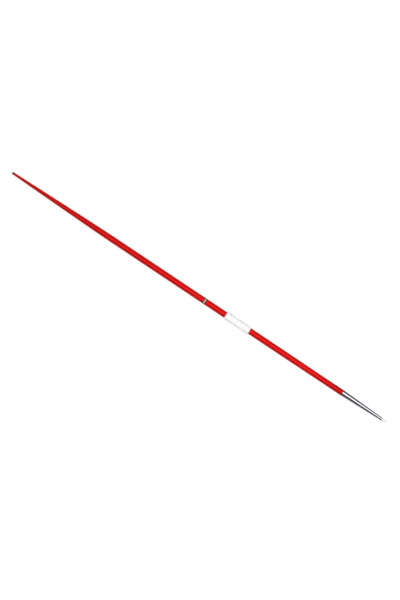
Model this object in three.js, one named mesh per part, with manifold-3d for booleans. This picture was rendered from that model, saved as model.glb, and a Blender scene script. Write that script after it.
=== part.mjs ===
// Training javelin: a red aluminium shaft, a bright steel head with a white nose and a corded grip.
// Millimetres, +Z up. The javelin lies along X with its tip towards +X, and rests on the underside
// of its grip at Z = 0, with X = 0 halfway along its length.
// A station is a distance from the tip, measured back along the javelin.

import * as THREE from 'three';
import { mergeVertices } from 'three/addons/utils/BufferGeometryUtils.js';
import Module from 'manifold-3d';

// Lengths along the javelin

const overallLength = 1870;
const noseLength = 20;
const headLength = 197.5;
const fullDiameterStation = 500;
const gripStation = 682;
const gripLength = 119.5;
const markerStation = 906.5;
const tailTaperStation = 1365;

// Shaft tube

const shaftDiameter = 27;
const shaftFrontDiameter = 25;
const tailEndDiameter = 9.8;
const shaftWall = 0.85;
const tailTaperPower = 1.25;
const tailTaperSteps = 8;

// Head

const headFrontDiameter = 12.4;
const headWall = 0.8;
const headTaperPower = 0.95;
const headTaperSteps = 8;
const plugReach = 40;
const plugWall = 1.5;
const plugWeb = 5;
const ballastLength = 10;

// Nose

const noseBaseDiameter = 12;
const noseShoulderDiameter = 10.2;
const noseRoundLength = 8;
const noseRoundSteps = 6;
const noseShankLength = 24;

// Grip

const underlayThickness = 1.4;
const cordWidth = 4.2;
const cordThickness = 1.5;
const cordTurns = 24;
const cordStepsPerTurn = 24;
const cordBendRadius = 1;
const cordBendSteps = 3;
const cordEndAngle = THREE.MathUtils.degToRad(120);
const cordCrownShare = 0.6;
const cordFlatShare = 0.1;

// Marker rings

const markerWhiteWidth = 3.8;
const markerBlackWidth = 4;
const markerThickness = 0.3;

// Tail plug

const tailCapLength = 4;
const tailCapFlatDiameter = 5;
const tailCapSteps = 4;
const tailShankLength = 18;

// Fits and finish

const seatClearance = 0.3;
const cutOverrun = 5;
const turnedSides = 36;

// Sizes that follow from the ones above

const headEndStation = noseLength + headLength;
const tubeEndStation = overallLength - tailCapLength - seatClearance;
const socketDiameter = headFrontDiameter - 2 * headWall;
const plugRearDiameter = shaftFrontDiameter - 2 * shaftWall - 2 * seatClearance;
const underlayInnerRadius = shaftDiameter / 2 + seatClearance;
const underlayOuterRadius = underlayInnerRadius + underlayThickness;
const cordStepAngle = 2 * Math.PI / cordStepsPerTurn;
const cordSeatRadius = (underlayOuterRadius + seatClearance) / Math.cos(cordStepAngle / 2);
const cordPathRadius = cordSeatRadius + cordThickness / 2;
const cordPitch = (gripLength - cordWidth) / cordTurns;
const gripUndersideRadius = (cordSeatRadius + cordThickness) * Math.cos(cordStepAngle / 2);
const axisHeight = gripUndersideRadius - cordFlatShare * cordThickness;

const wasm = await Module();
wasm.setup();

// Materials

function material(color, roughness, metalness) {
  return new THREE.MeshStandardMaterial({ color, roughness, metalness });
}

const redPaint = () => material(0xdc1410, 0.35, 0.1);
const brightSteel = () => material(0xd8dade, 0.12, 1);
const bareAluminium = () => material(0xb9bcc0, 0.4, 0.9);
const greySteel = () => material(0x7c7f83, 0.5, 0.9);
const whiteNylon = () => material(0xf2f2f0, 0.45, 0);
const whiteCord = () => material(0xf7f7f4, 0.85, 0);
const cottonTape = () => material(0xe9e6dd, 0.9, 0);
const whiteTape = () => material(0xf4f4f2, 0.35, 0);
const blackTape = () => material(0x141416, 0.35, 0);
const blackNylon = () => material(0x17171a, 0.5, 0);

// Solids turned about the javelin's axis, from an outline of [station, radius] points that
// runs forwards along the outside

function turned(outline) {
  const points = outline.map(([station, radius]) => new THREE.Vector2(radius, -station));
  const geometry = new THREE.LatheGeometry(points, turnedSides);
  geometry.rotateZ(-Math.PI / 2);
  return geometry;
}

function sleeve(frontStation, rearStation, innerRadius, outerRadius) {
  return turned([
    [rearStation, innerRadius],
    [rearStation, outerRadius],
    [frontStation, outerRadius],
    [frontStation, innerRadius],
    [rearStation, innerRadius],
  ]);
}

function stationsBetween(start, end, steps) {
  return Array.from({ length: steps + 1 }, (_, i) => THREE.MathUtils.lerp(start, end, i / steps));
}

// Solids that are cut

function solidFrom(geometry) {
  const bare = geometry.clone();
  bare.deleteAttribute('normal');
  bare.deleteAttribute('uv');
  const merged = mergeVertices(bare);
  return new wasm.Manifold(new wasm.Mesh({
    numProp: 3,
    vertProperties: merged.attributes.position.array,
    triVerts: new Uint32Array(merged.index.array),
  }));
}

function geometryFrom(solid) {
  const mesh = solid.getMesh();
  const geometry = new THREE.BufferGeometry();
  geometry.setAttribute('position', new THREE.BufferAttribute(mesh.vertProperties, 3));
  geometry.setIndex(new THREE.BufferAttribute(mesh.triVerts, 1));
  geometry.computeVertexNormals();
  return geometry;
}

// Shaft tube, with a slim front taper and a long drawn tail

function shaftRadius(station) {
  if (station < fullDiameterStation) {
    const share = (station - headEndStation) / (fullDiameterStation - headEndStation);
    return THREE.MathUtils.lerp(shaftFrontDiameter, shaftDiameter, share) / 2;
  }
  if (station <= tailTaperStation) {
    return shaftDiameter / 2;
  }
  const share = (station - tailTaperStation) / (tubeEndStation - tailTaperStation);
  return THREE.MathUtils.lerp(shaftDiameter, tailEndDiameter, share ** tailTaperPower) / 2;
}

function shaftTube() {
  const frontStation = headEndStation + seatClearance;
  const stations = [
    ...stationsBetween(tubeEndStation, tailTaperStation, tailTaperSteps),
    fullDiameterStation,
    frontStation,
  ];
  const outer = stations.map((station) => [station, shaftRadius(station)]);
  const inner = outer.map(([station, radius]) => [station, radius - shaftWall]).reverse();
  return turned([...outer, ...inner, outer[0]]);
}

// Head shell, a hollow cone with a slight belly and a socket for the nose at its front

function headRadius(station) {
  const share = (station - noseLength) / headLength;
  return THREE.MathUtils.lerp(headFrontDiameter, shaftFrontDiameter, share ** headTaperPower) / 2;
}

function headShell() {
  const socketEnd = noseLength + noseShankLength + seatClearance;
  const outer = stationsBetween(headEndStation, noseLength, headTaperSteps)
    .map((station) => [station, headRadius(station)]);
  const inner = stationsBetween(socketEnd, headEndStation, headTaperSteps)
    .map((station) => [station, headRadius(station) - headWall]);
  return turned([
    ...outer,
    [noseLength, socketDiameter / 2],
    [socketEnd, socketDiameter / 2],
    ...inner,
    outer[0],
  ]);
}

// Plug that joins the head to the shaft: a cup at each end of a solid web

function plugFrontRadius(station) {
  return headRadius(station) - headWall - seatClearance;
}

function plugFrontBoreRadius() {
  return plugFrontRadius(headEndStation - plugReach) - plugWall;
}

function headPlug() {
  const frontStation = headEndStation - plugReach;
  const rearStation = headEndStation + plugReach;
  const rearRadius = plugRearDiameter / 2;
  const cone = stationsBetween(headEndStation, frontStation, headTaperSteps)
    .map((station) => [station, Math.min(plugFrontRadius(station), rearRadius)]);
  return turned([
    [headEndStation + plugWeb / 2, 0],
    [headEndStation + plugWeb / 2, rearRadius - plugWall],
    [rearStation, rearRadius - plugWall],
    [rearStation, rearRadius],
    ...cone,
    [frontStation, plugFrontBoreRadius()],
    [headEndStation - plugWeb / 2, plugFrontBoreRadius()],
    [headEndStation - plugWeb / 2, 0],
  ]);
}

// Ballast slug, seated in the plug's front cup against the web

function headBallast() {
  const rearStation = headEndStation - plugWeb / 2 - seatClearance;
  const radius = plugFrontBoreRadius() - seatClearance;
  return turned([
    [rearStation, 0],
    [rearStation, radius],
    [rearStation - ballastLength, radius],
    [rearStation - ballastLength, 0],
  ]);
}

// Nose: a blunt rounded tip on a shank that fills the head's socket

function noseTip() {
  const baseStation = noseLength - seatClearance;
  const shankRadius = socketDiameter / 2 - seatClearance;
  const shoulderRadius = noseShoulderDiameter / 2;
  const round = stationsBetween(0, Math.PI / 2, noseRoundSteps)
    .map((angle) => [noseRoundLength * (1 - Math.sin(angle)), shoulderRadius * Math.cos(angle)]);
  return turned([
    [noseLength + noseShankLength, 0],
    [noseLength + noseShankLength, shankRadius],
    [baseStation, shankRadius],
    [baseStation, noseBaseDiameter / 2],
    ...round,
  ]);
}

// Grip underlay, notched at both ends where the cord's ends are tucked down to the shaft

function tuckNotch(station) {
  const width = cordWidth + 2 * seatClearance;
  const thickness = cordThickness + 2 * seatClearance;
  const depth = underlayThickness + 2 * cutOverrun;
  const box = new THREE.BoxGeometry(width, thickness, depth);
  box.translate(-station, 0, underlayInnerRadius + underlayThickness / 2);
  box.rotateX(-cordEndAngle);
  return solidFrom(box);
}

function gripUnderlay() {
  const rearStation = gripStation + gripLength;
  const tape = solidFrom(sleeve(gripStation, rearStation, underlayInnerRadius, underlayOuterRadius));
  const notched = tape
    .subtract(tuckNotch(gripStation + cordWidth / 2))
    .subtract(tuckNotch(rearStation - cordWidth / 2));
  return geometryFrom(notched);
}

// Grip cord: one flat cord in a single layer of turns. Each end bends square to the shaft and
// runs straight down to it through the underlay's notch.
// Angles about the axis are measured from the top, towards +Y.

function cordPoint(station, radius, angle, sideways) {
  return new THREE.Vector3(
    -station,
    radius * Math.sin(angle) + sideways * Math.cos(angle),
    radius * Math.cos(angle) - sideways * Math.sin(angle),
  );
}

function cordEnd(station, angle, side) {
  const endRadius = shaftDiameter / 2 + seatClearance;
  const straightEnd = cordPoint(station, endRadius, angle, 0);
  const bend = stationsBetween(0, Math.PI / 2, cordBendSteps).map((turn) => cordPoint(
    station,
    cordPathRadius - cordBendRadius * (1 - Math.sin(turn)),
    angle,
    side * cordBendRadius * (1 - Math.cos(turn)),
  ));
  return [straightEnd, ...bend];
}

function cordPath() {
  const steps = cordTurns * cordStepsPerTurn;
  const firstStation = gripStation + cordWidth / 2;
  const lastStation = gripStation + gripLength - cordWidth / 2;
  const lastAngle = cordEndAngle + cordTurns * 2 * Math.PI;
  const turns = Array.from({ length: steps }, (_, i) => {
    const angle = cordEndAngle + (i + 0.5) * cordStepAngle;
    const station = firstStation + cordPitch * (i + 0.5) / cordStepsPerTurn;
    return cordPoint(station, cordPathRadius, angle, 0);
  });
  return [
    ...cordEnd(firstStation, cordEndAngle, 1),
    ...turns,
    ...cordEnd(lastStation, lastAngle, -1).reverse(),
  ];
}

function cordSection() {
  const edge = cordWidth / 2;
  const crown = cordCrownShare * edge;
  const half = cordThickness / 2;
  return [[edge, 0], [crown, half], [-crown, half], [-edge, 0], [-crown, -half], [crown, -half]];
}

function cordRings(path) {
  const section = cordSection();
  return path.map((point, i) => {
    const before = path[Math.max(i - 1, 0)];
    const after = path[Math.min(i + 1, path.length - 1)];
    const along = after.clone().sub(before).normalize();
    const across = new THREE.Vector3(1, 0, 0).addScaledVector(along, -along.x).normalize();
    const outward = new THREE.Vector3().crossVectors(across, along);
    return section.map(([a, n]) => point.clone().addScaledVector(across, a).addScaledVector(outward, n));
  });
}

function tubeThrough(rings) {
  const sides = rings[0].length;
  const indices = [];
  for (let i = 0; i < rings.length - 1; i += 1) {
    for (let j = 0; j < sides; j += 1) {
      const here = i * sides + j;
      const beside = i * sides + (j + 1) % sides;
      indices.push(here, here + sides, beside);
      indices.push(beside, here + sides, beside + sides);
    }
  }
  const lastRing = (rings.length - 1) * sides;
  for (let j = 1; j < sides - 1; j += 1) {
    indices.push(0, j, j + 1);
    indices.push(lastRing, lastRing + j + 1, lastRing + j);
  }
  const geometry = new THREE.BufferGeometry().setFromPoints(rings.flat());
  geometry.setIndex(indices);
  return geometry;
}

function leastGapToItself(rings) {
  let least = Infinity;
  rings.forEach((ring, i) => {
    const nearby = rings.slice(i + cordStepsPerTurn / 2, i + cordStepsPerTurn * 3 / 2);
    for (const point of ring) {
      for (const other of nearby.flat()) {
        least = Math.min(least, point.distanceTo(other));
      }
    }
  });
  return least;
}

function gripCord() {
  const rings = cordRings(cordPath());
  console.log(`Least gap between the cord's turns: ${leastGapToItself(rings).toFixed(2)} mm`);
  const below = new THREE.BoxGeometry(gripLength, shaftDiameter, 2 * cutOverrun);
  below.translate(-gripStation - gripLength / 2, 0, -axisHeight - cutOverrun);
  return geometryFrom(solidFrom(tubeThrough(rings)).subtract(solidFrom(below)));
}

// Marker rings: a white ring between two narrow black ones

function markerRing(frontStation, width) {
  const innerRadius = shaftDiameter / 2 + seatClearance;
  return sleeve(frontStation, frontStation + width, innerRadius, innerRadius + markerThickness);
}

function markerFront() {
  return markerRing(markerStation - markerWhiteWidth / 2 - markerBlackWidth, markerBlackWidth);
}

function markerCentre() {
  const width = markerWhiteWidth - 2 * seatClearance;
  return markerRing(markerStation - width / 2, width);
}

function markerRear() {
  return markerRing(markerStation + markerWhiteWidth / 2, markerBlackWidth);
}

// Tail plug: a shank in the tube's end and a rounded cap with a small flat

function tailPlug() {
  const capBase = tubeEndStation + seatClearance;
  const shankRadius = tailEndDiameter / 2 - shaftWall - seatClearance;
  const capRound = (tailEndDiameter - tailCapFlatDiameter) / 2;
  const round = stationsBetween(Math.PI / 2, 0, tailCapSteps).map((angle) => [
    overallLength - tailCapLength / 2 * (1 - Math.sin(angle)),
    tailCapFlatDiameter / 2 + capRound * Math.cos(angle),
  ]);
  return turned([
    [overallLength, 0],
    ...round,
    [capBase, tailEndDiameter / 2],
    [capBase, shankRadius],
    [tubeEndStation - tailShankLength, shankRadius],
    [tubeEndStation - tailShankLength, 0],
  ]);
}

// Assembly, with the tip at the front end of the group's X axis

function piece(name, geometry, finish) {
  const mesh = new THREE.Mesh(geometry, finish);
  mesh.name = name;
  return mesh;
}

const javelin = new THREE.Group();
javelin.add(
  piece('shaft_tube', shaftTube(), redPaint()),
  piece('head_shell', headShell(), brightSteel()),
  piece('head_plug', headPlug(), bareAluminium()),
  piece('head_ballast', headBallast(), greySteel()),
  piece('nose_tip', noseTip(), whiteNylon()),
  piece('grip_underlay', gripUnderlay(), cottonTape()),
  piece('grip_cord', gripCord(), whiteCord()),
  piece('marker_front_black', markerFront(), blackTape()),
  piece('marker_white', markerCentre(), whiteTape()),
  piece('marker_rear_black', markerRear(), blackTape()),
  piece('tail_plug', tailPlug(), blackNylon()),
);
javelin.position.set(overallLength / 2, 0, axisHeight);

export default javelin;
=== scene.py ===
import math

import bpy
import numpy as np
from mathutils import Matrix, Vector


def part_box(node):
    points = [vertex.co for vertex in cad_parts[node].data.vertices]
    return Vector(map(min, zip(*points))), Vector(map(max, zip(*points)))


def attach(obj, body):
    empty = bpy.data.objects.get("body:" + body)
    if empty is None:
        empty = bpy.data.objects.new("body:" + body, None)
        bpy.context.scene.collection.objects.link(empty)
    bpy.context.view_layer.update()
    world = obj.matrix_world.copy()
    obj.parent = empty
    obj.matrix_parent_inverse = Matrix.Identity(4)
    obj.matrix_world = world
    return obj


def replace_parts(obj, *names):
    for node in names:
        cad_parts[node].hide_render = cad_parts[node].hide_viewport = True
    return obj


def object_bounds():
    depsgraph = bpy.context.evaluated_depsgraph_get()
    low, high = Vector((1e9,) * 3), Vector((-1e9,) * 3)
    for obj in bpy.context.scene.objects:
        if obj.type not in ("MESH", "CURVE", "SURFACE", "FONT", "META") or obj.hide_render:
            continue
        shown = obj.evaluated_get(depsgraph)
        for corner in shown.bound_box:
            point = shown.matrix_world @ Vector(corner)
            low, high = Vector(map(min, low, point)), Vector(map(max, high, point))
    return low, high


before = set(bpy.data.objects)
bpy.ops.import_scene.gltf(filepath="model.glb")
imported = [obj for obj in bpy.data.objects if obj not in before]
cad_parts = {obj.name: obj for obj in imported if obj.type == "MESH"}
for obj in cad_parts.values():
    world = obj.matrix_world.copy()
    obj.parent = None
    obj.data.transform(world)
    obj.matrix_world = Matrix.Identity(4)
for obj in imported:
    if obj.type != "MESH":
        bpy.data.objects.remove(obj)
cad_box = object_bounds()

# Places and sizes taken from the CAD parts in model.glb, in metres

MM = 0.001


def extent(node):
    """Rear station, front station and diameter of a turned CAD node."""
    low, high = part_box(node)
    return low.x, high.x, high.y - low.y


SHAFT_REAR, SHAFT_FRONT, SHAFT_DIAMETER = extent("shaft_tube")
HEAD_REAR, HEAD_FRONT, HEAD_REAR_DIAMETER = extent("head_shell")
HEAD_LENGTH = HEAD_FRONT - HEAD_REAR
NOSE_REAR, TIP, NOSE_DIAMETER = extent("nose_tip")
TAIL, PLUG_FRONT, TAIL_DIAMETER = extent("tail_plug")
GRIP_REAR, GRIP_FRONT, GRIP_DIAMETER = extent("grip_cord")
AXIS_HEIGHT = (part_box("shaft_tube")[0].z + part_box("shaft_tube")[1].z) / 2

# Sizes of the finished surfaces, with stations measured back from the tip

FULL_DIAMETER_STATION = 500 * MM
TAIL_TAPER_STATION = 1365 * MM
FULL_DIAMETER_X = TIP - FULL_DIAMETER_STATION
TAIL_TAPER_X = TIP - TAIL_TAPER_STATION
TAIL_TAPER_POWER = 1.25
SHAFT_WALL = 0.85 * MM
HEAD_WALL = 0.8 * MM
HEAD_FRONT_DIAMETER = 12.4 * MM
HEAD_TAPER_POWER = 0.95
EDGE_BREAK = 0.25 * MM
SEAM = 0.05 * MM

# How finely the turned surfaces are cut: faces round them, and steps along each stretch

SIDES = 96
TAIL_STEPS = 60
MIDDLE_STEPS = 24
FRONT_STEPS = 16
HEAD_STEPS = 64
FILLET_STEPS = 6
NOSE_STEPS = 32
CAP_STEPS = 12
TAPE_STEPS = 160
SHARP_ANGLE = math.radians(40)

# Grip's cord and tape

CORD_DIAMETER = 2.58 * MM
CORD_TURNS = 45
CORD_STEPS = 120
CORD_SIDES = 12
CORD_END_ANGLE = math.radians(120)
CORD_LAY = 8 * MM
CORD_STRANDS = 3
CORD_VALLEY_SHARE = 0.1
CORD_SQUARENESS = 2.8
CORD_SHARP_ANGLE = math.radians(80)
CORD_TUCK_TURNS = 0.16
CORD_TUCK_POWER = 3
CORD_END_FLATTENING = 0.75
TAPE_OVERLAP = 12 * MM
TAPE_THICKNESS = 0.45 * MM
TAPE_EDGE_STEEPNESS = 12

# Photograph's view: where the javelin's two ends lie in the 400 by 600 picture

IMAGE_WIDTH = 400
IMAGE_HEIGHT = 600
TAIL_PIXEL = (12.3, 172.7)
TIP_PIXEL = (385.8, 421.9)
LENS = 200
SENSOR = 36


# Meshes

def finish_mesh(name, vertices, faces, sharp_angle=SHARP_ANGLE):
    """A smooth shaded object that rides on the javelin's only body."""
    mesh = bpy.data.meshes.new(name)
    mesh.from_pydata([tuple(v) for v in vertices], [], faces)
    mesh.update()
    mesh.shade_smooth()
    mesh.set_sharp_from_angle(angle=sharp_angle)
    piece = bpy.data.objects.new(name, mesh)
    bpy.context.scene.collection.objects.link(piece)
    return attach(piece, "root")


def turned(name, outline, radius_at=None):
    """Turns an outline of (x, radius) points about the javelin's axis. The outline runs
    forwards along the outside, and starts and ends on the axis or closes on itself."""
    closed = outline[0] == outline[-1]
    points = outline[:-1] if closed else outline
    vertices, rings = [], []
    for x, radius in points:
        if radius == 0:
            rings.append([len(vertices)] * SIDES)
            vertices.append((x, 0, AXIS_HEIGHT))
            continue
        rings.append(list(range(len(vertices), len(vertices) + SIDES)))
        for i in range(SIDES):
            angle = 2 * math.pi * i / SIDES
            r = radius_at(x, angle, radius) if radius_at else radius
            vertices.append((x, r * math.sin(angle), AXIS_HEIGHT + r * math.cos(angle)))
    faces = []
    count = len(rings) if closed else len(rings) - 1
    for k in range(count):
        rear, front = rings[k], rings[(k + 1) % len(rings)]
        for i in range(SIDES):
            j = (i + 1) % SIDES
            corners = [rear[i], front[i], front[j], rear[j]]
            face = [c for n, c in enumerate(corners) if c not in corners[:n]]
            if len(face) > 2:
                faces.append(face)
    return finish_mesh(name, vertices, faces)


def stations(start, end, count):
    return [float(x) for x in np.linspace(start, end, count)]


def mix(a, b, share):
    return a + (b - a) * share


# Shaft

def shaft_radius(x):
    if x > FULL_DIAMETER_X:
        share = (SHAFT_FRONT - x) / (SHAFT_FRONT - FULL_DIAMETER_X)
        return mix(HEAD_REAR_DIAMETER, SHAFT_DIAMETER, share) / 2
    if x >= TAIL_TAPER_X:
        return SHAFT_DIAMETER / 2
    share = (TAIL_TAPER_X - x) / (TAIL_TAPER_X - SHAFT_REAR)
    return mix(SHAFT_DIAMETER, TAIL_DIAMETER, share ** TAIL_TAPER_POWER) / 2


def make_shaft():
    front = HEAD_REAR - SEAM
    along = stations(SHAFT_REAR + EDGE_BREAK, TAIL_TAPER_X, TAIL_STEPS)
    along += stations(TAIL_TAPER_X, FULL_DIAMETER_X, MIDDLE_STEPS)[1:]
    along += stations(FULL_DIAMETER_X, front - EDGE_BREAK, FRONT_STEPS)[1:]
    outer = [(x, shaft_radius(x)) for x in along]
    rear_rim = (SHAFT_REAR, outer[0][1] - EDGE_BREAK)
    front_rim = (front, outer[-1][1] - EDGE_BREAK)
    inner = [(x, radius - SHAFT_WALL) for x, radius in reversed(outer)]
    outline = [rear_rim, *outer, front_rim, *inner, rear_rim]
    piece = turned("shaft", outline)
    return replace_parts(piece, "shaft_tube")


# Head

def head_radius(x):
    share = (HEAD_FRONT - x) / (HEAD_FRONT - HEAD_REAR)
    return mix(HEAD_FRONT_DIAMETER, HEAD_REAR_DIAMETER, max(share, 0) ** HEAD_TAPER_POWER) / 2


def make_head():
    socket_radius = HEAD_FRONT_DIAMETER / 2 - HEAD_WALL
    along = stations(HEAD_REAR + EDGE_BREAK, HEAD_FRONT - EDGE_BREAK, HEAD_STEPS)
    outer = [(x, head_radius(x)) for x in along]
    rear_rim = (HEAD_REAR, outer[0][1] - EDGE_BREAK)
    front_rim = (HEAD_FRONT, outer[-1][1] - EDGE_BREAK)
    inner = [(x, radius - HEAD_WALL) for x, radius in reversed(outer) if x < NOSE_REAR]
    socket = [(HEAD_FRONT, socket_radius), (NOSE_REAR, socket_radius)]
    outline = [rear_rim, *outer, front_rim, *socket, *inner, rear_rim]
    piece = turned("head", outline)
    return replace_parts(piece, "head_shell")


# Nose

NOSE_FILLET = 0.4 * MM
NOSE_ALONG = 2.6
NOSE_ROUND = 2.3


def make_nose():
    """Blunt moulded nose, whose sides round over evenly from its base to the tip."""
    base = HEAD_FRONT + SEAM
    shank = HEAD_FRONT_DIAMETER / 2 - HEAD_WALL - SEAM
    side = base + NOSE_FILLET
    fillet = [
        (base + NOSE_FILLET * (1 - math.cos(a)), NOSE_DIAMETER / 2 - NOSE_FILLET * (1 - math.sin(a)))
        for a in stations(0, math.pi / 2, FILLET_STEPS)
    ]
    crown = [
        (mix(side, TIP, math.sin(a) ** (2 / NOSE_ALONG)),
         NOSE_DIAMETER / 2 * math.cos(a) ** (2 / NOSE_ROUND))
        for a in stations(0, math.pi / 2, NOSE_STEPS)
    ]
    crown[-1] = (TIP, 0)
    outline = [(NOSE_REAR, 0), (NOSE_REAR, shank), (base, shank), *fillet, *crown[1:]]
    piece = turned("nose", outline)
    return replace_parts(piece, "nose_tip")


# Tail cap

TAIL_FLAT_DIAMETER = 5 * MM
TAIL_CAP = 4 * MM


def make_tail_cap():
    base = SHAFT_REAR - SEAM
    shank = TAIL_DIAMETER / 2 - SHAFT_WALL - SEAM
    corner = (TAIL_DIAMETER - TAIL_FLAT_DIAMETER) / 2
    crown = [
        (TAIL + TAIL_CAP / 2 * (1 - math.sin(a)), TAIL_FLAT_DIAMETER / 2 + corner * math.cos(a))
        for a in stations(math.pi / 2, 0, CAP_STEPS)
    ]
    outline = [
        (TAIL, 0), *crown, (base, TAIL_DIAMETER / 2),
        (base, shank), (PLUG_FRONT, shank), (PLUG_FRONT, 0),
    ]
    piece = turned("tail_cap", outline)
    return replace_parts(piece, "tail_plug")


# Marker rings

RING_THICKNESS = 0.14 * MM
RING_EDGE_LAP = 0.3 * MM
RING_LAP_ANGLE = math.radians(28)
RING_LAP_START = math.radians(200)
RING_INNER = SHAFT_DIAMETER / 2
RING_OUTER = RING_INNER + RING_THICKNESS
RING_TOP = RING_OUTER + RING_THICKNESS


def lapped(x, angle, radius):
    """Tape that laps over its own start, so it is twice as thick there."""
    past = (angle - RING_LAP_START) % (2 * math.pi)
    return radius + (RING_THICKNESS if past < RING_LAP_ANGLE and radius > RING_INNER else 0)


def make_ring(name, node, outline):
    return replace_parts(turned(name, outline, lapped), node)


def make_rings():
    """A white tape, and a black one over each of its edges."""
    rear = extent("marker_rear_black")[0]
    front = extent("marker_front_black")[1]
    white_rear, white_front, _ = extent("marker_white")
    black_rear = make_ring("ring_black_rear", "marker_rear_black", [
        (rear, RING_INNER), (rear, RING_OUTER),
        (white_rear - RING_THICKNESS, RING_OUTER), (white_rear, RING_TOP),
        (white_rear + RING_EDGE_LAP, RING_TOP), (white_rear + RING_EDGE_LAP, RING_OUTER),
        (white_rear, RING_OUTER), (white_rear, RING_INNER), (rear, RING_INNER),
    ])
    white = make_ring("ring_white", "marker_white", [
        (white_rear, RING_INNER), (white_rear, RING_OUTER),
        (white_front, RING_OUTER), (white_front, RING_INNER), (white_rear, RING_INNER),
    ])
    black_front = make_ring("ring_black_front", "marker_front_black", [
        (white_front, RING_INNER), (white_front, RING_OUTER),
        (white_front - RING_EDGE_LAP, RING_OUTER), (white_front - RING_EDGE_LAP, RING_TOP),
        (white_front, RING_TOP), (white_front + RING_THICKNESS, RING_OUTER),
        (front, RING_OUTER), (front, RING_INNER), (white_front, RING_INNER),
    ])
    return black_rear, white, black_front


# Grip

def make_grip_tape():
    """Cotton tape wound under the cord, each turn lapping half over the last."""
    inner = SHAFT_DIAMETER / 2
    outer = GRIP_DIAMETER / 2 - CORD_DIAMETER - SEAM

    def wound(x, angle, radius):
        if radius <= inner:
            return radius
        share = ((x - GRIP_REAR) / TAPE_OVERLAP - angle / (2 * math.pi)) % 1
        return outer - TAPE_THICKNESS * min(share * TAPE_EDGE_STEEPNESS, 1) * share

    rear, front = GRIP_REAR + CORD_DIAMETER / 4, GRIP_FRONT - CORD_DIAMETER / 4
    surface = [(x, outer) for x in stations(rear, front, TAPE_STEPS)]
    outline = [(rear, inner), *surface, (front, inner), (rear, inner)]
    piece = turned("grip_tape", outline, wound)
    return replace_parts(piece, "grip_underlay")


def cord_line():
    """The cord's run along its centre line: places, angles about the axis, and flatness."""
    turn = np.linspace(0, CORD_TURNS, CORD_TURNS * CORD_STEPS + 1)
    angle = CORD_END_ANGLE + 2 * math.pi * turn
    first = GRIP_FRONT - CORD_DIAMETER / 2
    last = GRIP_REAR + CORD_DIAMETER / 2
    near_end = np.minimum(turn, CORD_TURNS - turn) / CORD_TUCK_TURNS
    tucked = 1 - np.clip(near_end, 0, 1)
    ease = tucked * tucked * (3 - 2 * tucked)
    pitch = (last - first) / CORD_TURNS
    under = np.where(turn < CORD_TURNS / 2, pitch, -pitch) * ease ** CORD_TUCK_POWER
    x = first + pitch * turn + under
    flat = 1 - CORD_END_FLATTENING * ease
    wound_radius = (GRIP_DIAMETER - CORD_DIAMETER) / 2
    tucked_radius = SHAFT_DIAMETER / 2 + CORD_DIAMETER / 2 * (1 - CORD_END_FLATTENING)
    radius = wound_radius * (1 - ease) + tucked_radius * ease
    centre = np.stack([x, radius * np.sin(angle), AXIS_HEIGHT + radius * np.cos(angle)], 1)
    return centre, angle, flat


def length_run(centre):
    """Length of the cord up to each place on its centre line."""
    steps = np.linalg.norm(np.diff(centre, axis=0), axis=1)
    return np.concatenate([[0], np.cumsum(steps)])


def unit(vectors):
    return vectors / np.linalg.norm(vectors, axis=1)[:, None]


def squared(values):
    """Fills out a circle's cosine or sine towards a square, as turns do that press on each other."""
    return np.sign(values) * np.abs(values) ** (2 / CORD_SQUARENESS)


def make_grip_cord():
    """One cord of three twisted strands, wound close, with each end tucked under the next turn."""
    centre, angle, flat = cord_line()
    run = length_run(centre)
    along = unit(np.gradient(centre, axis=0))
    outward = np.stack([np.zeros(len(angle)), np.sin(angle), np.cos(angle)], 1)
    across = unit(np.cross(along, outward))
    outward = np.cross(across, along)
    around = 2 * math.pi * np.arange(CORD_SIDES) / CORD_SIDES
    strand = CORD_STRANDS * (around[None, :] + 2 * math.pi * run[:, None] / CORD_LAY)
    crest = np.abs(np.cos(strand / 2))
    half = CORD_DIAMETER / 2 * (1 - CORD_VALLEY_SHARE * (1 - crest))
    points = (
        centre[:, None, :]
        + across[:, None, :] * (half * squared(np.cos(around)))[:, :, None]
        + outward[:, None, :] * (half * squared(np.sin(around)) * flat[:, None])[:, :, None]
    )
    points[:, :, 2] = np.maximum(points[:, :, 2], cad_box[0].z)
    piece = finish_mesh("grip_winding", points.reshape(-1, 3), tube_faces(len(centre)), CORD_SHARP_ANGLE)
    paint_cord_map(piece, run)
    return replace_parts(piece, "grip_cord")


def tube_faces(rings):
    """Faces of a tube of rings, closed by a flat face at each end."""
    faces = []
    for i in range(rings - 1):
        for j in range(CORD_SIDES):
            k = (j + 1) % CORD_SIDES
            corners = ((i, j), (i + 1, j), (i + 1, k), (i, k))
            faces.append(tuple(ring * CORD_SIDES + spot for ring, spot in corners))
    faces.append(tuple(range(CORD_SIDES)))
    faces.append(tuple(range(rings * CORD_SIDES - 1, (rings - 1) * CORD_SIDES - 1, -1)))
    return faces


def paint_cord_map(piece, run):
    """A UV map with the length run along the cord, and the strands numbered round it."""
    mesh = piece.data
    corners = np.empty(len(mesh.loops), dtype=np.int64)
    mesh.loops.foreach_get("vertex_index", corners)
    ring, spot = corners // CORD_SIDES, corners % CORD_SIDES
    quads = (len(run) - 1) * CORD_SIDES
    last = np.arange(quads) % CORD_SIDES == CORD_SIDES - 1
    wrapped = np.repeat(last, 4) & (spot[:quads * 4] == 0)
    share = spot / CORD_SIDES
    share[:quads * 4][wrapped] = 1
    values = np.stack([run[ring], CORD_STRANDS * (share + run[ring] / CORD_LAY)], 1)
    mesh.uv_layers.new(name="cord").data.foreach_set("uv", values.ravel())


# Node building

def add(tree, kind, inputs=None, **settings):
    """A shader node with its settings, and its inputs given as values or as sockets."""
    made = tree.nodes.new(kind)
    for key, value in settings.items():
        setattr(made, key, value)
    for socket, value in (inputs or {}).items():
        if isinstance(value, bpy.types.NodeSocket):
            tree.links.new(value, made.inputs[socket])
        else:
            made.inputs[socket].default_value = value
    return made


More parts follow.
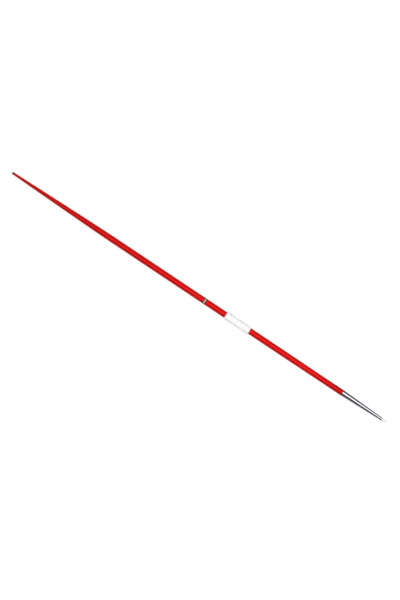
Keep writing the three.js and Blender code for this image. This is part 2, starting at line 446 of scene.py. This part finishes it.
def srgb(code):
    """Linear colour from a hex code."""
    parts = [int(code[i:i + 2], 16) / 255 for i in (0, 2, 4)]
    linear = [p / 12.92 if p <= 0.04045 else ((p + 0.055) / 1.055) ** 2.4 for p in parts]
    return (*linear, 1)


def new_material(name, roughness, metallic=0.0):
    made = bpy.data.materials.new(name)
    made.use_nodes = True
    shader = made.node_tree.nodes["Principled BSDF"]
    shader.inputs["Roughness"].default_value = roughness
    shader.inputs["Metallic"].default_value = metallic
    return made, made.node_tree, shader


def place(tree, stretch=(1, 1, 1)):
    """The point on the object, in metres, stretched for noise that runs one way."""
    point = add(tree, "ShaderNodeTexCoord").outputs["Object"]
    return add(tree, "ShaderNodeMapping", {"Vector": point, "Scale": stretch}).outputs["Vector"]


def noise(tree, vector, scale, detail):
    inputs = {"Vector": vector, "Scale": scale, "Detail": detail}
    return add(tree, "ShaderNodeTexNoise", inputs).outputs["Fac"]


def spread(tree, value, low, high, to_low=0.0, to_high=1.0):
    """Maps low..high onto to_low..to_high, held within them."""
    inputs = {"Value": value, "From Min": low, "From Max": high, "To Min": to_low, "To Max": to_high}
    return add(tree, "ShaderNodeMapRange", inputs).outputs["Result"]


def blend_colour(tree, share, first, second):
    made = add(tree, "ShaderNodeMix", data_type="RGBA")
    for index, value in ((0, share), (6, first), (7, second)):
        if isinstance(value, bpy.types.NodeSocket):
            tree.links.new(value, made.inputs[index])
        else:
            made.inputs[index].default_value = value
    return made.outputs[2]


def bump(tree, shader, height, distance):
    made = add(tree, "ShaderNodeBump", {"Height": height, "Distance": distance})
    tree.links.new(made.outputs["Normal"], shader.inputs["Normal"])


def link(tree, output, shader, name):
    tree.links.new(output, shader.inputs[name])


# Materials

def red_paint():
    made, tree, shader = new_material("red_paint", 0.5, metallic=0.68)
    cloud = noise(tree, place(tree), 9, 4)
    tone = blend_colour(tree, spread(tree, cloud, 0.35, 0.65), srgb("CE0E0C"), srgb("C60C0A"))
    scuffs = noise(tree, place(tree, (0.12, 1, 1)), 900, 2)
    scuffed = spread(tree, scuffs, 0.68, 0.78, 0, 0.35)
    link(tree, blend_colour(tree, scuffed, tone, srgb("9C1A16")), shader, "Base Color")
    link(tree, spread(tree, noise(tree, place(tree), 60, 4), 0.3, 0.7, 0.47, 0.53), shader, "Roughness")
    shader.inputs["Specular IOR Level"].default_value = 0.1
    shader.inputs["Coat Weight"].default_value = 0.06
    shader.inputs["Coat Roughness"].default_value = 0.3
    bump(tree, shader, noise(tree, place(tree), 700, 2), 0.02 * MM)
    return made


def bright_steel():
    made, tree, shader = new_material("bright_steel", 0.1, metallic=1.0)
    cloud = noise(tree, place(tree), 30, 3)
    tone = blend_colour(tree, spread(tree, cloud, 0.3, 0.7), srgb("C8CBD0"), srgb("C0C4CA"))
    link(tree, tone, shader, "Base Color")
    turning = noise(tree, place(tree, (1, 0.02, 0.02)), 2500, 2)
    link(tree, spread(tree, turning, 0.3, 0.7, 0.07, 0.16), shader, "Roughness")
    bump(tree, shader, turning, 0.004 * MM)
    return made


def plain_metal(name, light, dark, roughness):
    """Turned metal, with fine tool marks round it."""
    made, tree, shader = new_material(name, roughness, metallic=1.0)
    marks = noise(tree, place(tree, (1, 0.02, 0.02)), 1500, 3)
    link(tree, blend_colour(tree, marks, srgb(light), srgb(dark)), shader, "Base Color")
    link(tree, spread(tree, marks, 0.3, 0.7, roughness - 0.08, roughness + 0.1), shader, "Roughness")
    bump(tree, shader, marks, 0.02 * MM)
    return made


def moulded(name, light, dark, roughness):
    """Moulded plastic, with a faint grain and slight clouding."""
    made, tree, shader = new_material(name, roughness)
    cloud = noise(tree, place(tree), 220, 4)
    link(tree, blend_colour(tree, cloud, srgb(light), srgb(dark)), shader, "Base Color")
    link(tree, spread(tree, cloud, 0.3, 0.7, roughness - 0.08, roughness + 0.08), shader, "Roughness")
    bump(tree, shader, noise(tree, place(tree), 1800, 2), 0.02 * MM)
    return made


def vinyl(name, light, dark):
    """Smooth adhesive tape, slightly uneven in gloss."""
    made, tree, shader = new_material(name, 0.35)
    cloud = noise(tree, place(tree), 400, 3)
    link(tree, blend_colour(tree, cloud, srgb(light), srgb(dark)), shader, "Base Color")
    link(tree, spread(tree, cloud, 0.3, 0.7, 0.28, 0.45), shader, "Roughness")
    bump(tree, shader, cloud, 0.01 * MM)
    return made


def cotton_tape():
    made, tree, shader = new_material("cotton_tape", 0.9)
    warp = add(tree, "ShaderNodeTexWave", {"Vector": place(tree), "Scale": 250.0, "Distortion": 1.0})
    weave = warp.outputs["Fac"]
    link(tree, blend_colour(tree, weave, srgb("E6E3DA"), srgb("CFCBC0")), shader, "Base Color")
    bump(tree, shader, weave, 0.05 * MM)
    return made


def distance_from_axis(tree):
    point = add(tree, "ShaderNodeTexCoord").outputs["Object"]
    kind = "ShaderNodeVectorMath"
    from_axis = add(tree, kind, {0: point, 1: (0, 0, AXIS_HEIGHT)}, operation="SUBTRACT")
    sideways = {0: from_axis.outputs["Vector"], 1: (0, 1, 1)}
    across = add(tree, kind, sideways, operation="MULTIPLY")
    return add(tree, kind, {0: across.outputs["Vector"]}, operation="LENGTH").outputs["Value"]


# Where a strand's groove and its painted shade start, its relief against that of the fibres, the fibres'
# stretch along and round the cord, and the depths below the grip's surface at which the painted shade
# between turns is full and ends

GROOVE_START = 0.36
GROOVE_RELIEF = -0.6
FIBRE_STRETCH = (500, 14, 1)
SHADE_FULL_DEPTH = 0.45
SHADE_END_DEPTH = 0.12


def white_cord():
    """Twisted cotton cord: strands from the cord's own map with painted shade in their grooves, loose
    fibres, and painted shade in the recesses between turns.
    """
    made, tree, shader = new_material("white_cord", 0.85)
    strands = add(tree, "ShaderNodeUVMap", uv_map="cord").outputs["UV"]
    parts = add(tree, "ShaderNodeSeparateXYZ", {"Vector": strands})
    aside = add(tree, "ShaderNodeMath", {0: parts.outputs["Y"], 1: 0.5}, operation="PINGPONG")
    groove = spread(tree, aside.outputs["Value"], GROOVE_START, 0.5)
    fibres = add(tree, "ShaderNodeMapping", {"Vector": strands, "Scale": FIBRE_STRETCH})
    lint = noise(tree, fibres.outputs["Vector"], 1.0, 3)
    # Painted shade: the cord is coloured a little darker the deeper it lies below the grip's surface, in
    # the recesses between turns.
    shade_between_turns = spread(tree, distance_from_axis(tree), GRIP_DIAMETER / 2 - CORD_DIAMETER * SHADE_FULL_DEPTH,
                    GRIP_DIAMETER / 2 - CORD_DIAMETER * SHADE_END_DEPTH)
    unshaded = blend_colour(tree, spread(tree, lint, 0.25, 0.75), srgb("FAFAF9"), srgb("FEFEFD"))
    turn = blend_colour(tree, shade_between_turns, srgb("F9F8F6"), unshaded)
    # Painted shade: the grooves between the strands are coloured a little darker than the strands'
    # crowns.
    link(tree, blend_colour(tree, groove, turn, srgb("F3F2EE")), shader, "Base Color")
    relief = add(tree, "ShaderNodeMath", {0: groove, 1: GROOVE_RELIEF, 2: lint}, operation="MULTIPLY_ADD")
    bump(tree, shader, relief.outputs["Value"], 0.08 * MM)
    shader.inputs["Sheen Weight"].default_value = 0.4
    return made


def dress(piece, material):
    """Gives a piece its material."""
    piece.data.materials.clear()
    piece.data.materials.append(material)


def dress_node(node, material):
    """Gives a CAD node that stays its material."""
    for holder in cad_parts[node].material_slots:
        holder.material = material


# Stage

FLOOR_SIZE = 120
FLOOR_GAP = 0.05 * MM
FLOOR_GLOW = 0.7
LAMP_LENGTH = 3.6
LAMP_SHIFT = 0.7
SOFTBOX_HEIGHT = 2.4
SOFTBOX_SIDE = 0.2
SOFTBOX_WIDTH = 3.6
SOFTBOX_WATTS = 88
FILL_HEIGHT = 1.8
FILL_SIDE = -1.8
FILL_WIDTH = 1.2
FILL_WATTS = 6
HORIZON_LEVEL = 0.9
DOME_FILL = 0.26
HORIZON_TOP = math.radians(8)
CEILING_START = math.radians(16)
CEILING_LEVEL = 0.08
ROOM_LEVEL = 0.6
STRIP_EDGE = 0.4
STRIP_END = 0.55
CARD_START = 3 * MM
CARD_REACH = 300 * MM
CARD_BACK = 50 * MM
CARD_LIFT = 120 * MM
CARD_STEPS = 8
FLAG_HEIGHT = 300 * MM
FLAG_NEAR = math.radians(4)
FLAG_FAR = math.radians(50)


def looked_at(tree):
    """1 for rays from the camera, from bright metal and through glass, and 0 for the rest."""
    rays = add(tree, "ShaderNodeLightPath").outputs
    seen = add(tree, "ShaderNodeMath", {0: rays["Is Camera Ray"], 1: rays["Is Glossy Ray"]},
               operation="MAXIMUM").outputs["Value"]
    return add(tree, "ShaderNodeMath", {0: seen, 1: rays["Is Transmission Ray"]},
               operation="MAXIMUM").outputs["Value"]


def floor_material():
    """White floor that keeps shadows, and that cameras and metal see as white where it is lit."""
    made, tree, shader = new_material("floor", 0.9)
    tone = noise(tree, place(tree), 3, 2)
    link(tree, blend_colour(tree, tone, srgb("A0A0A0"), srgb("A6A6A6")), shader, "Base Color")
    shader.inputs["Emission Color"].default_value = (1, 1, 1, 1)
    link(tree, spread(tree, looked_at(tree), 0, 1, 0, FLOOR_GLOW), shader, "Emission Strength")
    return made


def make_floor():
    half = FLOOR_SIZE / 2
    corners = [(-half, -half), (half, -half), (half, half), (-half, half)]
    mesh = bpy.data.meshes.new("floor")
    mesh.from_pydata([(x, y, cad_box[0].z - FLOOR_GAP) for x, y in corners], [], [(0, 1, 2, 3)])
    mesh.materials.append(floor_material())
    floor = bpy.data.objects.new("floor", mesh)
    bpy.context.scene.collection.objects.link(floor)


def make_lamp(name, side, height, width, watts):
    """A long area lamp beside the javelin's axis, facing it."""
    lamp = bpy.data.lights.new(name, "AREA")
    lamp.shape = "RECTANGLE"
    lamp.size = LAMP_LENGTH
    lamp.size_y = width
    lamp.energy = watts
    holder = bpy.data.objects.new(name, lamp)
    holder.location = (LAMP_SHIFT, side, height)
    holder.rotation_euler = (-math.atan2(side, height), 0, 0)
    bpy.context.scene.collection.objects.link(holder)
    return holder


def card_material(name, light, dark):
    made, tree, shader = new_material(name, 0.9)
    cloud = noise(tree, place(tree), 40, 2)
    link(tree, blend_colour(tree, cloud, srgb(light), srgb(dark)), shader, "Base Color")
    return made


def make_card(name, section, material):
    """A dull card of (y, z) section along the head, which only its bright metal reflects."""
    ends = (HEAD_REAR - CARD_BACK, TIP + CARD_REACH)
    vertices = [(x, y, z) for x in ends for y, z in section]
    count = len(section)
    faces = [(i, i + 1, count + i + 1, count + i) for i in range(count - 1)]
    mesh = bpy.data.meshes.new(name)
    mesh.from_pydata(vertices, [], faces)
    mesh.materials.append(material)
    card = bpy.data.objects.new(name, mesh)
    card.visible_camera = card.visible_diffuse = card.visible_shadow = card.visible_transmission = False
    bpy.context.scene.collection.objects.link(card)


def make_cards():
    """A card on the floor at each side of the head, curved up at its far edge, and a flag above."""
    floor = cad_box[0].z
    bend = [
        (CARD_REACH + CARD_LIFT / 2 * math.sin(a), floor + CARD_LIFT * (1 - math.cos(a)))
        for a in stations(0, math.pi / 2, CARD_STEPS)
    ]
    left = [(CARD_START, floor), *bend]
    right = [(-y, z) for y, z in left]
    flag = [(-FLAG_HEIGHT * math.tan(a), AXIS_HEIGHT + FLAG_HEIGHT) for a in (FLAG_NEAR, FLAG_FAR)]
    make_card("card_left", left, card_material("dark_card", "5C5C5E", "646466"))
    make_card("card_right", right, card_material("grey_card", "9A9A9C", "A2A2A4"))
    make_card("flag", flag, card_material("black_flag", "202022", "262628"))


def make_world():
    """Even fill light. Metal shows a white surround under a ceiling that is dim in a strip
    across the javelin."""
    world = bpy.data.worlds.new("studio")
    world.use_nodes = True
    tree = world.node_tree
    direction = add(tree, "ShaderNodeTexCoord").outputs["Generated"]
    parts = add(tree, "ShaderNodeSeparateXYZ", {"Vector": direction}).outputs
    endways = add(tree, "ShaderNodeMath", {0: parts["X"]}, operation="ABSOLUTE").outputs["Value"]
    ceiling = spread(tree, endways, STRIP_EDGE, STRIP_END, CEILING_LEVEL, ROOM_LEVEL)
    seen = spread(tree, parts["Z"], math.sin(HORIZON_TOP), math.sin(CEILING_START),
                  HORIZON_LEVEL, ceiling)
    level = spread(tree, looked_at(tree), 0, 1, DOME_FILL, seen)
    tree.links.new(level, tree.nodes["Background"].inputs["Strength"])
    tree.nodes["Background"].inputs["Color"].default_value = (1, 1, 1, 1)
    bpy.context.scene.world = world


def make_camera():
    """Straight down on the javelin, turned so that its ends fall on their two pixels."""
    tail, tip = np.array(TAIL_PIXEL), np.array(TIP_PIXEL)
    run = tip - tail
    pixel = (TIP - TAIL) / float(np.linalg.norm(run))
    roll = math.atan2(run[1], run[0])
    off = np.array((IMAGE_WIDTH / 2, IMAGE_HEIGHT / 2)) - (tail + tip) / 2
    right = np.array((math.cos(roll), math.sin(roll)))
    up = np.array((-math.sin(roll), math.cos(roll)))
    spot = np.array(((TIP + TAIL) / 2, 0)) + pixel * (off[0] * right - off[1] * up)
    data = bpy.data.cameras.new("camera")
    data.lens = LENS
    data.sensor_width = SENSOR
    distance = pixel * IMAGE_HEIGHT * LENS / SENSOR
    data.clip_end = 4 * distance
    camera = bpy.data.objects.new("camera", data)
    camera.location = (*spot, AXIS_HEIGHT + distance)
    camera.rotation_euler = (0, 0, roll)
    bpy.context.scene.collection.objects.link(camera)
    bpy.context.scene.camera = camera


# Assembly

make_camera()
make_floor()
make_lamp("softbox", SOFTBOX_SIDE, SOFTBOX_HEIGHT, SOFTBOX_WIDTH, SOFTBOX_WATTS)
make_lamp("fill", FILL_SIDE, FILL_HEIGHT, FILL_WIDTH, FILL_WATTS).visible_glossy = False
make_cards()
make_world()

dress(make_shaft(), red_paint())
dress(make_head(), bright_steel())
dress(make_nose(), moulded("white_nylon", "E9E9E9", "DFDFDF", 0.45))
dress(make_tail_cap(), moulded("black_nylon", "1A1A1C", "111113", 0.5))
dress(make_grip_tape(), cotton_tape())
dress(make_grip_cord(), white_cord())
ring_rear, ring_white, ring_front = make_rings()
black_tape = vinyl("black_tape", "161618", "0E0E10")
dress(ring_rear, black_tape)
dress(ring_front, black_tape)
dress(ring_white, vinyl("white_tape", "E4E2E4", "DCDADC"))
dress_node("head_plug", plain_metal("bare_aluminium", "C9CBCE", "B4B7BB", 0.4))
dress_node("head_ballast", plain_metal("grey_steel", "84878B", "6C6F73", 0.45))

bpy.context.scene.view_settings.view_transform = "Standard"
